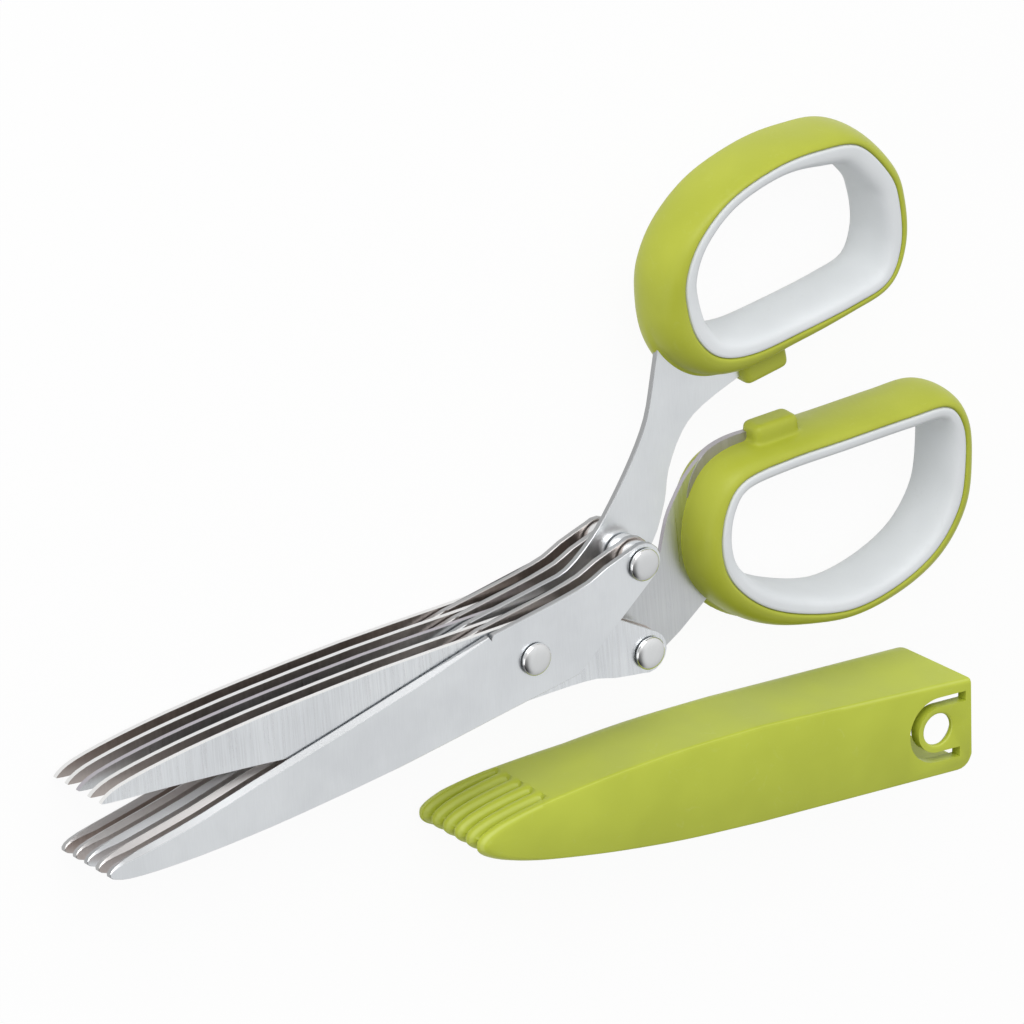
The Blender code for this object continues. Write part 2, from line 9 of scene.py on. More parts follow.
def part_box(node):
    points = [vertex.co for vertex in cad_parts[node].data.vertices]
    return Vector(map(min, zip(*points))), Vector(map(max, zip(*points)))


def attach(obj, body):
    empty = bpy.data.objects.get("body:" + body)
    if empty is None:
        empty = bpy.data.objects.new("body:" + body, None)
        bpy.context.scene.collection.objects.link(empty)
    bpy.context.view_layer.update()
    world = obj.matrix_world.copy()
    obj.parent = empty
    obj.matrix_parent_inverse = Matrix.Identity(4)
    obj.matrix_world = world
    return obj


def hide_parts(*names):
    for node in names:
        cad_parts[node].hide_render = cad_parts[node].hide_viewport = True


mm = 0.001
weld = 0.002 * mm  # points nearer than this are one
tiny = 0.01 * mm  # distances below this count as nothing
flat = 0.99  # a normal with this upright part belongs to a level face

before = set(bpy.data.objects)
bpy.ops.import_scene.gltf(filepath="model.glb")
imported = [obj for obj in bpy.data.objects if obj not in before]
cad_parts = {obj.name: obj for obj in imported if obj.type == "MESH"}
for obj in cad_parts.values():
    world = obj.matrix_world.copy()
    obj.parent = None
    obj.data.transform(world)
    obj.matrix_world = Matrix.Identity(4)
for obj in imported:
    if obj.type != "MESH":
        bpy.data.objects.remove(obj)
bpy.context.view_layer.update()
print("frame loaded")


def makeActive(piece):
    bpy.ops.object.select_all(action="DESELECT")
    piece.select_set(True)
    bpy.context.view_layer.objects.active = piece


def pickFaces(piece, wanted):
    # Selects in edit mode the faces that a test on centre and normal lets through
    shape = bmesh.from_edit_mesh(piece.data)
    for item in list(shape.verts) + list(shape.edges) + list(shape.faces):
        item.select = False
    for face in shape.faces:
        face.select_set(wanted(face.calc_center_median(), face.normal))
    shape.select_flush(True)
    bmesh.update_edit_mesh(piece.data)


def pickEdges(piece, wanted):
    # Selects in edit mode the edges whose two ends both pass a test
    shape = bmesh.from_edit_mesh(piece.data)
    for item in list(shape.verts) + list(shape.edges) + list(shape.faces):
        item.select = False
    for edge in shape.edges:
        if wanted(edge.verts[0].co, edge.verts[1].co):
            edge.select_set(True)
    bmesh.update_edit_mesh(piece.data)


def editMode(on):
    bpy.ops.object.mode_set(mode="EDIT" if on else "OBJECT")


def tidyMesh(piece, angle):
    # Doubles merged, normals outwards, smooth but for real corners
    makeActive(piece)
    editMode(True)
    bpy.ops.mesh.select_all(action="SELECT")
    bpy.ops.mesh.remove_doubles(threshold=weld)
    bpy.ops.mesh.normals_make_consistent(inside=False)
    editMode(False)
    bpy.ops.object.shade_smooth_by_angle(angle=math.radians(angle))


def placeMesh(piece, degrees, x=0, y=0):
    # Turned and moved to its place, which then goes into the mesh
    makeActive(piece)
    piece.rotation_euler.z = math.radians(degrees)
    piece.location = (x, y, 0)
    bpy.ops.object.transform_apply(location=True, rotation=True, scale=True)


def useModifiers(piece):
    makeActive(piece)
    for modifier in list(piece.modifiers):
        bpy.ops.object.modifier_apply(modifier=modifier.name)


def cutOrJoin(body, tool, operation):
    modifier = body.modifiers.new(tool.name, "BOOLEAN")
    modifier.object = tool
    modifier.operation = operation
    modifier.solver = "EXACT"
    useModifiers(body)
    bpy.data.objects.remove(tool, do_unlink=True)


def mergedCopy(node, name, angle):
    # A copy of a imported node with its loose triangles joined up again
    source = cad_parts[node]
    piece = bpy.data.objects.new(name, source.data.copy())
    bpy.context.scene.collection.objects.link(piece)
    makeActive(piece)
    bpy.ops.mesh.customdata_custom_splitnormals_clear()
    editMode(True)
    bpy.ops.mesh.select_all(action="SELECT")
    bpy.ops.mesh.remove_doubles(threshold=weld)
    editMode(False)
    bpy.ops.object.shade_smooth_by_angle(angle=math.radians(angle))
    return piece


def extrudeUp(distance):
    bpy.ops.mesh.extrude_region_move(TRANSFORM_OT_translate={"value": (0, 0, distance * mm)})


def addTube(name, outline, levels):
    # The outline as a ring of edges, extruded to each level in turn and closed at both ends
    bpy.ops.mesh.primitive_circle_add(vertices=len(outline), radius=1 * mm, fill_type="NOTHING",
                                      location=(0, 0, 0))
    tube = bpy.context.object
    tube.name = name
    for vertex, (x, y) in zip(tube.data.vertices, outline):
        vertex.co = Vector((x, y, levels[0])) * mm
    editMode(True)
    bpy.ops.mesh.select_all(action="SELECT")
    for low, high in zip(levels, levels[1:]):
        extrudeUp(high - low)
    for level in (levels[0], levels[-1]):
        pickEdges(tube, lambda a, b: abs(a.z - level * mm) < tiny and abs(b.z - level * mm) < tiny)
        bpy.ops.mesh.edge_face_add()
    editMode(False)
    return tube


def shareOf(value, start, length):
    # From 0 to 1 over a length that begins at start
    return min(max((value - start) / length, 0), 1)


def smoothCurve(points, steps, closed):
    # Curve through the points, each corner taking its slope from its neighbours
    count = len(points)
    curve = []
    for i in range(count if closed else count - 1):
        if closed:
            a, b, c, d = (points[(i + k - 1) % count] for k in range(4))
        else:
            a, b, c, d = (points[min(max(i + k - 1, 0), count - 1)] for k in range(4))
        for step in range(steps):
            t = step / steps
            curve.append(tuple(
                b[k] + 0.5 * ((c[k] - a[k]) * t + (2 * a[k] - 5 * b[k] + 4 * c[k] - d[k]) * t ** 2
                              + (3 * b[k] - a[k] - 3 * c[k] + d[k]) * t ** 3) for k in range(2)))
    return curve if closed else curve + [points[-1]]


def evenPoints(curve, count):
    # The closed curve again in equal steps
    ring = curve + curve[:1]
    lengths = [0]
    for a, b in zip(ring, ring[1:]):
        lengths.append(lengths[-1] + math.dist(a, b))
    points, at = [], 0
    for i in range(count):
        goal = lengths[-1] * i / count
        while lengths[at + 1] < goal:
            at += 1
        t = (goal - lengths[at]) / (lengths[at + 1] - lengths[at])
        points.append(tuple(ring[at][k] + (ring[at + 1][k] - ring[at][k]) * t for k in range(2)))
    return points


def outwardSteps(outline):
    # Unit steps away from the inside, at the points of a closed anticlockwise outline
    steps = []
    for i in range(len(outline)):
        before, after = outline[i - 1], outline[(i + 1) % len(outline)]
        steps.append(Vector((after[1] - before[1], before[0] - after[0])).normalized())
    return steps


def rideOn(piece, body, slot, *nodes):
    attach(piece, body)
    if nodes:
        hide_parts(*nodes)


# Handle loops: a torus laid along the seat between shell and liner, then given its section
handle = {
    "curveSteps": 12,
    "stations": 200,
    "sectionPoints": 44,
    "middle": 10.15,
    "halfDepth": 6.9,
    "shellRim": 0.6,
    "shellRound": 1.0,
    "linerRim": 0.5,
    "linerRound": 0.62,
    "linerThickness": 2.8,
    "linerHalfDepth": 6.93,
    "swellPower": 4,  # the higher, the narrower a swell
    "joint": 0.03,
    "seatRound": 0.35,
    "linerLap": 0.35,  # the liner laps over the edge of the shell
    "nubSize": (10.0, 5.4),
    "nubRound": 1.35,
    "voxel": 0.34,
    "smoothing": 7,
    "cornerAngle": 80,
}
thumbLoop = {
    "body": "thumb_half",
    "turn": 4.0,
    "centre": (71.4, 53.8),
    "size": (48.8, 34.0),
    "near": 6.9,
    "far": 2.4,
    "shellSwells": [(112, -0.45), (-12, 0.7)],  # direction in degrees and extra thickness
    "plateLevel": 10.2,
    "plateSide": (185, 215, 250, 290),  # where the shell draws in above the plate: from, full, full, to
    "drawnIn": 0.30,
    "nubX": 63.9,
    "nubY": (28.1, 36.0),
    "linerSwells": [(30, 1.9), (200, 0.9)],  # direction in degrees and extra thickness
    "outline": [(-0.45, 0.90), (-0.78, 0.62), (-0.96, 0.26), (-1.0, -0.10), (-0.96, -0.50), (-0.80, -0.83),
                (-0.50, -0.99), (-0.05, -1.02), (0.45, -1.02), (0.78, -0.95), (0.95, -0.60), (1.0, -0.12),
                (0.96, 0.27), (0.74, 0.77), (0.40, 0.94), (0.0, 1.0)],
}
fingerLoop = {
    "body": "finger_half",
    "turn": -4.4,
    "centre": (72.3, 4.1),
    "size": (56.0, 34.0),
    "near": 5.5,
    "far": 2.5,
    "shellSwells": [(-12, 1.5), (-65, 0.8), (80, 0.2)],
    "plateLevel": 8.8,
    "plateSide": (96, 128, 195, 240),
    "drawnIn": 0.22,
    "nubX": 60.7,
    "nubY": (20.6, 27.6),
    "linerSwells": [(215, 0.7)],
    "outline": [(-0.45, 1.0), (-0.80, 0.93), (-0.95, 0.66), (-1.0, 0.22), (-0.93, -0.20), (-0.70, -0.60),
                (-0.38, -0.865), (0.02, -1.015), (0.40, -0.92), (0.72, -0.66), (0.92, -0.24), (0.985, 0.26),
                (0.98, 0.70), (0.86, 0.97), (0.55, 1.0), (0.05, 1.0)],
}


def facing(point, centre, direction):
    away = Vector((point[0] - centre[0], point[1] - centre[1])).normalized()
    return away.dot(direction)


def loopCourse(loop):
    (cx, cy), (length, width) = loop["centre"], loop["size"]
    points = [(cx + u * length / 2, cy + v * width / 2) for u, v in loop["outline"]]
    return evenPoints(smoothCurve(points, handle["curveSteps"], True), handle["stations"])


def swellAt(loop, point, swells):
    extra = 0
    for degrees, amount in swells:
        direction = Vector((math.cos(math.radians(degrees)), math.sin(math.radians(degrees))))
        extra += amount * max(facing(point, loop["centre"], direction), 0) ** handle["swellPower"]
    return extra


def plateShare(loop, point):
    # From 0 to 1 where the steel plate comes out of the shell
    angle = math.degrees(math.atan2(point[1] - loop["centre"][1], point[0] - loop["centre"][0])) % 360
    start, full, fading, end = loop["plateSide"]
    share = min(shareOf(angle, start, full - start), shareOf(end - angle, 0, end - fading))
    return share * share * (3 - 2 * share)


def shellPoint(angle, thickness, loop, point):
    # Outwards a full round, inwards the flat seat
    up, out = math.sin(angle), math.cos(angle)
    rim = handle["shellRim"]
    height = handle["halfDepth"] * math.copysign(abs(up) ** handle["shellRound"], up)
    if height > loop["plateLevel"] - handle["middle"]:
        thickness = thickness - (thickness - rim) * loop["drawnIn"] * plateShare(loop, point)
    if out > 0:
        return rim + (thickness - rim) * out ** handle["shellRound"], height
    return handle["joint"] + (rim - handle["joint"]) * (1 - abs(out) ** handle["seatRound"]), height


def linerPoint(angle, thickness, loop, point):
    # Inwards a soft bulge, outwards the seat and the lap over the shell
    up, out = math.sin(angle), math.cos(angle)
    height = handle["linerHalfDepth"] * math.copysign(abs(up) ** handle["linerRound"], up)
    rim = handle["linerRim"]
    if out < 0:
        return -rim - (thickness - rim) * abs(out) ** handle["linerRound"], height
    return handle["linerLap"] - (rim + handle["linerLap"]) * (1 - out ** handle["seatRound"]), height


def shellThickness(loop, point):
    towardsPivot = Vector((-loop["centre"][0], -loop["centre"][1])).normalized()
    swell = ((1 + facing(point, loop["centre"], towardsPivot)) / 2) ** handle["swellPower"]
    return loop["far"] + (loop["near"] - loop["far"]) * swell + swellAt(loop, point, loop["shellSwells"])


def linerThickness(loop, point):
    return handle["linerThickness"] + swellAt(loop, point, loop["linerSwells"])


def addLoop(name, loop, thicknessAt, sectionAt):
    course = loopCourse(loop)
    count = handle["sectionPoints"]
    bpy.ops.mesh.primitive_torus_add(major_segments=handle["stations"], minor_segments=count,
                                     major_radius=loop["size"][1] / 2 * mm,
                                     minor_radius=handle["linerThickness"] * mm)
    piece = bpy.context.object
    piece.name = name
    for i, (point, step) in enumerate(zip(course, outwardSteps(course))):
        thickness = thicknessAt(loop, point)
        for k in range(count):
            reach, height = sectionAt(math.tau * k / count, thickness, loop, point)
            place = (point[0] + step.x * reach, point[1] + step.y * reach, handle["middle"] + height)
            piece.data.vertices[i * count + k].co = Vector(place) * mm
    return piece


def addNub(loop):
    # Stop nub: a block with its edges rounded over
    low, high = loop["nubY"]
    bpy.ops.mesh.primitive_cube_add(size=1, location=(0, 0, 0))
    nub = bpy.context.object
    editMode(True)
    bpy.ops.transform.resize(value=(handle["nubSize"][0] * mm, (high - low) * mm, handle["nubSize"][1] * mm))
    bpy.ops.transform.translate(value=(loop["nubX"] * mm, (low + high) / 2 * mm, handle["middle"] * mm))
    bpy.ops.mesh.bevel(offset=handle["nubRound"] * mm, segments=5, profile=0.5, affect="EDGES")
    editMode(False)
    return nub


def addShell(name, node, loop):
    shell = addLoop(name, loop, shellThickness, shellPoint)
    tidyMesh(shell, handle["cornerAngle"])
    cutOrJoin(shell, addNub(loop), "UNION")
    remesh = shell.modifiers.new("skin", "REMESH")
    remesh.mode = "VOXEL"
    remesh.voxel_size = handle["voxel"] * mm
    soften = shell.modifiers.new("soften", "SMOOTH")
    soften.factor = 0.5
    soften.iterations = handle["smoothing"]
    useModifiers(shell)
    tidyMesh(shell, handle["cornerAngle"])
    placeMesh(shell, loop["turn"])
    rideOn(shell, loop["body"], "green_plastic", node)
    return shell


def addLiner(name, node, loop):
    liner = addLoop(name, loop, linerThickness, linerPoint)
    tidyMesh(liner, handle["cornerAngle"])
    placeMesh(liner, loop["turn"])
    rideOn(liner, loop["body"], "pale_liner", node)
    return liner


shells = [addShell("thumbShell", "thumb_shell", thumbLoop),
          addShell("fingerShell", "finger_shell", fingerLoop)]
liners = [addLiner("thumbLiner", "thumb_liner", thumbLoop),
          addLiner("fingerLiner", "finger_liner", fingerLoop)]
print("handle loops ready")

# Rivets: a disc drawn up step by step from the flat tail to the crowned head
rivetShape = {
    "sides": 72,
    "shaft": 1.8,
    "tail": [(2.58, 0.0), (2.7, 0.12), (2.7, 0.8)],  # radius and height, from the bottom up
    "head": [(3.12, 0.0), (3.2, 0.08), (3.2, 0.30), (3.17, 0.45), (3.08, 0.60), (2.93, 0.74), (2.72, 0.86),
             (2.45, 0.95), (2.1, 1.02), (1.6, 1.07), (0.8, 1.1)],
    "seat": 0.3,
    "cornerAngle": 40,
}
stack = {"plates": 5, "pitch": 3.6, "plate": 1.1, "runningGap": 0.3, "high": 18.0}
rearRivet = (27.6, 16.0)  # reach and angle from the pivot
tailHeight = rivetShape["tail"][-1][1]


def addRivet(name, low, high):
    seat = high + rivetShape["seat"]
    profile = [(r, low + z) for r, z in rivetShape["tail"]]
    profile += [(rivetShape["shaft"], low + tailHeight), (rivetShape["shaft"], seat)]
    profile += [(r, seat + z) for r, z in rivetShape["head"]]
    radius, height = profile[0]
    bpy.ops.mesh.primitive_circle_add(vertices=rivetShape["sides"], radius=radius * mm, fill_type="NGON",
                                      location=(0, 0, 0))
    piece = bpy.context.object
    piece.name = name
    editMode(True)
    bpy.ops.transform.translate(value=(0, 0, height * mm))
    for nextRadius, nextHeight in profile[1:]:
        extrudeUp(nextHeight - height)
        share = nextRadius / radius
        bpy.ops.transform.resize(value=(share, share, 1), center_override=(0, 0, nextHeight * mm))
        radius, height = nextRadius, nextHeight
    editMode(False)
    tidyMesh(piece, rivetShape["cornerAngle"])
    return piece


def rearPlace(turn, side):
    angle = math.radians(turn + side * rearRivet[1])
    return rearRivet[0] * math.cos(angle) * mm, rearRivet[0] * math.sin(angle) * mm


fingerTop = stack["high"] - stack["plate"] - stack["runningGap"]
thumbBottom = stack["high"] - stack["plate"] - (stack["plates"] - 1) * stack["pitch"]
pivotRivet = addRivet("pivotRivet", 0, stack["high"])
rideOn(pivotRivet, "finger_half", "rivet_steel", "pivot_rivet")
thumbRivet = addRivet("thumbRivet", thumbBottom - rivetShape["seat"] - tailHeight, stack["high"])
placeMesh(thumbRivet, 0, *rearPlace(thumbLoop["turn"], 1))
rideOn(thumbRivet, "thumb_half", "rivet_steel", "thumb_rivet")
fingerRivet = addRivet("fingerRivet", 0, fingerTop)
placeMesh(fingerRivet, 0, *rearPlace(fingerLoop["turn"], -1))
rideOn(fingerRivet, "finger_half", "rivet_steel", "finger_rivet")
rivets = [pivotRivet, thumbRivet, fingerRivet]

# Washers and spacers: one ring of each kind, then copies with a mesh of their own
ringShape = {"sides": 56, "bore": 2.1, "rimBevel": 0.1, "cornerAngle": 40}


def addRing(name, node):
    # Sized by the box of its node, with its bore bridged through
    low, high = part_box(node)
    radius, bore = (high[0] - low[0]) / 2, ringShape["bore"] * mm
    bpy.ops.mesh.primitive_cylinder_add(vertices=ringShape["sides"], radius=radius, depth=high[2] - low[2],
                                        end_fill_type="NGON", location=(0, 0, 0))
    ring = bpy.context.object
    ring.name = name
    editMode(True)
    for side in (1, -1):
        pickFaces(ring, lambda centre, normal: normal.z * side > flat)
        bpy.ops.mesh.inset(thickness=radius - bore, depth=0)
    pickFaces(ring, lambda centre, normal: abs(normal.z) > flat and centre.xy.length < tiny)
    bpy.ops.mesh.delete(type="FACE")
    pickEdges(ring, lambda a, b: max(a.xy.length, b.xy.length) < bore + tiny)
    bpy.ops.mesh.bridge_edge_loops()
    pickEdges(ring, lambda a, b: min(a.xy.length, b.xy.length) > radius - tiny and a.z * b.z > 0)
    bpy.ops.mesh.bevel(offset=ringShape["rimBevel"] * mm, segments=2, profile=0.5, affect="EDGES")
    editMode(False)
    tidyMesh(ring, ringShape["cornerAngle"])
    return ring


rings = []
for kind, body in (("pivot_washer", "finger_half"), ("thumb_spacer", "thumb_half"),
                   ("finger_spacer", "finger_half")):
    pattern = addRing(kind + "Pattern", kind + "_1")
    for number in range(1, stack["plates"]):
        node = f"{kind}_{number}"
        low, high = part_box(node)
        ring = bpy.data.objects.new(kind.replace("_", "") + str(number), pattern.data.copy())
        bpy.context.scene.collection.objects.link(ring)
        ring.data.transform(Matrix.Translation((Vector(low) + Vector(high)) / 2))
        rideOn(ring, body, "rivet_steel", node)
        rings.append(ring)
    bpy.data.objects.remove(pattern, do_unlink=True)

# Blade plates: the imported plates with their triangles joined, their tips drawn in a little
bladeShape = {
    "cornerAngle": 28,
    "tipFrom": -30.0,
    "tipEnd": -98.2,
    "tipBend": 1.5,
    "thumbShift": (1.1, 0.6),
    "fingerShift": (2.1, 0.0),
    "heelNotch": (-8.88, 7.3),
    "heelNotchReach": 0.2,
    "heelEdge": 8.2,
}


def drawTipIn(blade, shift):
    whole = bladeShape["tipEnd"] - bladeShape["tipFrom"]
    for vertex in blade.data.vertices:
        run = max(vertex.co.x / mm - bladeShape["tipFrom"], whole)
        if run < 0:
            share = (run / whole) ** bladeShape["tipBend"]
            vertex.co.x += shift[0] * share * mm
            vertex.co.y += shift[1] * share * mm


def fillHeelNotch(blade):
    # The heel notch of a plate behind the front one is closed
    for vertex in blade.data.vertices:
        away = math.dist((vertex.co.x / mm, vertex.co.y / mm), bladeShape["heelNotch"])
        if away < bladeShape["heelNotchReach"]:
            vertex.co.y = bladeShape["heelEdge"] * mm


blades = []
for half in ("thumb", "finger"):
    for number in range(1, stack["plates"] + 1):
        node = f"{half}_blade_{number}"
        blade = mergedCopy(node, f"{half}Blade{number}", bladeShape["cornerAngle"])
        drawTipIn(blade, bladeShape[half + "Shift"])
        if half == "thumb" and number > 1:
            fillHeelNotch(blade)
        rideOn(blade, half + "_half", "blade_steel", node)
        blades.append(blade)
print("blades, rivets and rings ready")

# Blade cover: a circle laid along the outline and drawn up level by level, with lobes round the nose
cover = {
    "place": (84.2, -47.7),
    "slant": -9.0,
    "half": 9.8,
    "reach": 104.0,
    "mouth": 8.8,
    "height": 21.1,
    "level": 0.22,
    "lowRound": 5.4,
    "lowRoundDrop": 3.4,  # the lower fold gets that much tighter towards the nose
    "lowBlend": (0.70, 0.25),  # start and length, in shares of the reach
    "highRound": 0.75,
    "noseRound": 1.7,  # the upper fold opens to this at the nose
    "noseBlend": (0.84, 0.15),
    "mouthLowRound": 2.0,
    "mouthSlant": (0.12, 0.19),  # how the mouth leans back towards its lower side, in front and at the rear
    "mouthSkew": 0.9,
    "farCorner": 0.8,
    "nearCorner": 3.0,
    "mouthRun": 4.0,  # the corners of the mouth are turned within this length
    "mouthSteps": 12,
    "squareRun": 4.5,  # this near to the mouth the walls move only sideways
    "insetRoom": 0.85,  # a wall moves at most so much of the way to the middle line
    "pinch": 1.4,
    "pinchRun": (-40.0, 49.0),  # start and length
    "cornerAngle": 40,
    "lastCornerAngle": 32,
    "curveSteps": 24,
    "spacing": (1.6, 0.42),  # between the points along the sides and round the nose
    "fineFrom": 0.78,
    "outline": [(0.38, 1.0), (0.53, 0.955), (0.64, 0.875), (0.745, 0.76), (0.865, 0.58), (0.94, 0.405),
                (0.98, 0.25), (0.997, 0.115)],
    "combStart": 0.843,
    "combRunIn": 0.7,
    "grooves": 5,
    "groovePitch": 3.6,
    "grooveWidth": 0.6,
    "grooveStep": 0.12,  # share of its depth at which a groove begins
    "sideDepth": 1.5,
    "noseDepth": 2.4,
    "cavityHalf": 8.8,
    "cavityReach": 90.0,
    "cavityHeights": (1.4, 18.7),
    "cavityLowSteps": (0, 0.12, 0.4, 0.8, 1.4, 2.2, 3.2, 4.4),
    "cavityHighSteps": (0.6, 0.3, 0.1, 0),
    "cavitySpacing": (2.0, 1.0),
    "cavityOverrun": 3.0,
    "cutOverrun": 2.0,
    "cavityLowRound": 4.4,
    "cavityHighRound": 0.6,
    "cavityOutline": [(0.14, 1.0), (0.33, 0.955), (0.55, 0.865), (0.68, 0.765), (0.79, 0.655), (0.89, 0.505),
                      (0.95, 0.36), (0.985, 0.25), (1.0, 0.10)],
    "faceSplits": [-6.5 - 8.0 * k for k in range(12)],
    "snapPlace": (0.7, -0.3),
    "slitRadius": 5.5,
    "slitWidth": 2.0,
    "slitSteps": 30,
    "slitEnd": 6.2,
    "slitLowEnd": 5.2,
    "holeRadius": 3.15,
    "holeSides": 64,
    "holeSteps": 5,
    "holeOverrun": 1.0,
    "holeRound": 0.5,
    "holeLip": 0.9,
    "holeFlare": 1.2,  # the hole widens under its lip
}


def roundInset(distance, radius):
    # How far a quarter round of this radius draws in, at a distance from the face it meets
    if distance >= radius:
        return 0
    return radius - math.sqrt(max(radius ** 2 - (radius - distance) ** 2, 0))


def mouthTurn(mouth, half, corner):
    if not corner:
        return [(mouth, half)]
    bends = [math.radians(a) for a in range(90, -1, -15)]
    return [(mouth - corner + corner * math.sin(a), half - corner + corner * math.cos(a)) for a in bends]


def coverOutline(half, reach, mouth, shares, corners, spacing):
    # One side in near-even steps, finer round the nose, then the mirror image and the mouth
    shaped = [(-reach * u, half * v) for u, v in shares] + [(-reach, 0)]
    side = smoothCurve(shaped, cover["curveSteps"], False)
    picked = [side[0]]
    for point in side[1:-1]:
        step = spacing[1] if point[0] < -reach * cover["fineFrom"] else spacing[0]
        if math.dist(point, picked[-1]) >= step:
            picked.append(point)
    picked.append(side[-1])
    start, count = mouth - cover["mouthRun"], cover["mouthSteps"]
    straight = [(start - (start + reach * shares[0][0]) * k / count, half) for k in range(count)]
    far, near = (mouthTurn(mouth, half, corner) for corner in corners)
    upper = straight + picked
    return far + upper + [(x, -y) for x, y in reversed(near + upper[:-1])]


def grooveDepth(height, toNose):
    # Full round lobes with a narrow groove between each two
    full = cover["sideDepth"] + (cover["noseDepth"] - cover["sideDepth"]) * toNose
    fromMiddle = (height - cover["height"] / 2) / cover["groovePitch"]
    ordinal = fromMiddle + (cover["grooves"] - 1) / 2
    near = min(max(round(ordinal), 0), cover["grooves"] - 1)
    fromGroove = abs(ordinal - near) * cover["groovePitch"]
    lobe = (cover["groovePitch"] - cover["grooveWidth"]) / 2
    across = lobe - max(fromGroove - cover["grooveWidth"] / 2, 0)
    if across <= 0:
        return 0
    rounding = 1 - math.sqrt(max(1 - (across / lobe) ** 2, 0))
    return full * (cover["grooveStep"] + (1 - cover["grooveStep"]) * rounding)


def pinchAt(x, y, height):
    # Towards the mouth the upper fold of the rear side is drawn in
    if y < 0:
        return 0
    return cover["pinch"] * shareOf(x, *cover["pinchRun"]) * height / cover["height"]


def drawIn(tube, outline, insetAt):
    # Moves each point of a tube inwards from its outline, never past the middle line
    steps = outwardSteps(outline)
    tree = KDTree(len(outline))
    for i, (x, y) in enumerate(outline):
        tree.insert((x, y, 0), i)
    tree.balance()
    for vertex in tube.data.vertices:
        i = tree.find((vertex.co.x / mm, vertex.co.y / mm, 0))[1]
        (x, y), step = outline[i], steps[i]
        inset = insetAt(x, vertex.co.z / mm) + pinchAt(x, y, vertex.co.z / mm)
        if x > cover["mouth"] - cover["squareRun"]:
            step = Vector((0, math.copysign(1, y)))
        room = cover["insetRoom"] * abs(y)
        if abs(step.y) * inset > room and abs(y) * mm > tiny:
            inset = room / abs(step.y)
        vertex.co.x = (x - step.x * inset) * mm
        vertex.co.y = (y - step.y * inset) * mm


def shapeCover(tube, outline):
    # Rounds the rims, presses in the grooves and cuts the mouth back
    start = -cover["reach"] * cover["combStart"]

    def insetAt(x, height):
        along = -x / cover["reach"]
        toNose = shareOf(along, *cover["noseBlend"])
        high = cover["highRound"] + (cover["noseRound"] - cover["highRound"]) * toNose ** 2
        low = cover["lowRound"] - cover["lowRoundDrop"] * shareOf(along, *cover["lowBlend"])
        inset = roundInset(height, low) + roundInset(cover["height"] - height, high)
        return inset + grooveDepth(height, toNose) * shareOf(start - x, 0, cover["combRunIn"])

    drawIn(tube, outline, insetAt)
    for vertex in tube.data.vertices:
        height = vertex.co.z / mm
        rear = (vertex.co.y / mm / cover["half"] + 1) / 2
        slant = cover["mouthSlant"][0] + (cover["mouthSlant"][1] - cover["mouthSlant"][0]) * rear
        mouth = cover["mouth"] - cover["mouthSkew"] * rear - slant * (cover["height"] - height)
        vertex.co.x = min(vertex.co.x, (mouth - roundInset(height, cover["mouthLowRound"])) * mm)


def splitFace(piece, level, direction, places):
    # Cuts the flat face at a level into fields, so that its shading runs evenly from rim to rim
    makeActive(piece)
    for place in places:
        editMode(True)
        pickFaces(piece, lambda centre, normal: normal.z > flat and centre.z > level - tiny)
        bpy.ops.mesh.bisect(plane_co=Vector(direction) * place * mm, plane_no=direction)
        editMode(False)


def addCavity(low, high):
    # What is cut out of the cover for the closed blades
    inside = coverOutline(cover["cavityHalf"], cover["cavityReach"], cover["mouth"] + cover["cavityOverrun"],
                          cover["cavityOutline"], (0, 0), cover["cavitySpacing"])
    levels = [low + step for step in cover["cavityLowSteps"]]
    levels += [high - step for step in cover["cavityHighSteps"]]
    cavity = addTube("cavity", inside, levels)
    drawIn(cavity, inside, lambda x, height: roundInset(height - low, cover["cavityLowRound"])
           + roundInset(high - height, cover["cavityHighRound"]))
    tidyMesh(cavity, cover["cornerAngle"])
    return cavity


def addSlit(low, high):
    # A half ring with two straight arms, round the snap tab
    outer = cover["slitRadius"] + cover["slitWidth"] / 2
    inner = cover["slitRadius"] - cover["slitWidth"] / 2
    count = cover["slitSteps"]
    bend = [math.radians(90 + 180 * k / count) for k in range(count + 1)]
    outline = [(outer * math.cos(a), outer * math.sin(a)) for a in bend]
    outline += [(cover["slitLowEnd"], -outer), (cover["slitLowEnd"], -inner)]
    outline += [(inner * math.cos(a), inner * math.sin(a)) for a in reversed(bend)]
    outline += [(cover["slitEnd"], inner), (cover["slitEnd"], outer)]
    snapX, snapY = cover["snapPlace"]
    slit = addTube("slit", [(x + snapX, y + snapY) for x, y in outline], [low, high])
    tidyMesh(slit, cover["cornerAngle"])
    return slit


def addHole(low, high):
    # Rounded at the rim, then straight for the depth of its lip, then wider
    radius, count, steps = cover["holeRadius"], cover["holeSides"], cover["holeSteps"]
    turns = [math.tau * k / count for k in range(count)]
    top = cover["height"]
    levels = [low, high, top - cover["holeLip"]]
    levels += [top - cover["holeRound"] * (1 - k / steps) for k in range(steps + 1)]
    levels += [top + cover["holeOverrun"]]
    hole = addTube("hole", [(radius * math.cos(a), radius * math.sin(a)) for a in turns], levels)
    snapX, snapY = cover["snapPlace"]
    for vertex in hole.data.vertices:
        drop = top - vertex.co.z / mm
        spread = cover["holeRound"] if drop < 0 else roundInset(drop, cover["holeRound"])
        spread += min(max(drop - cover["holeLip"], 0), cover["holeFlare"])
        share = 1 + spread / radius
        vertex.co.x = vertex.co.x * share + snapX * mm
        vertex.co.y = vertex.co.y * share + snapY * mm
    tidyMesh(hole, cover["cornerAngle"])
    return hole


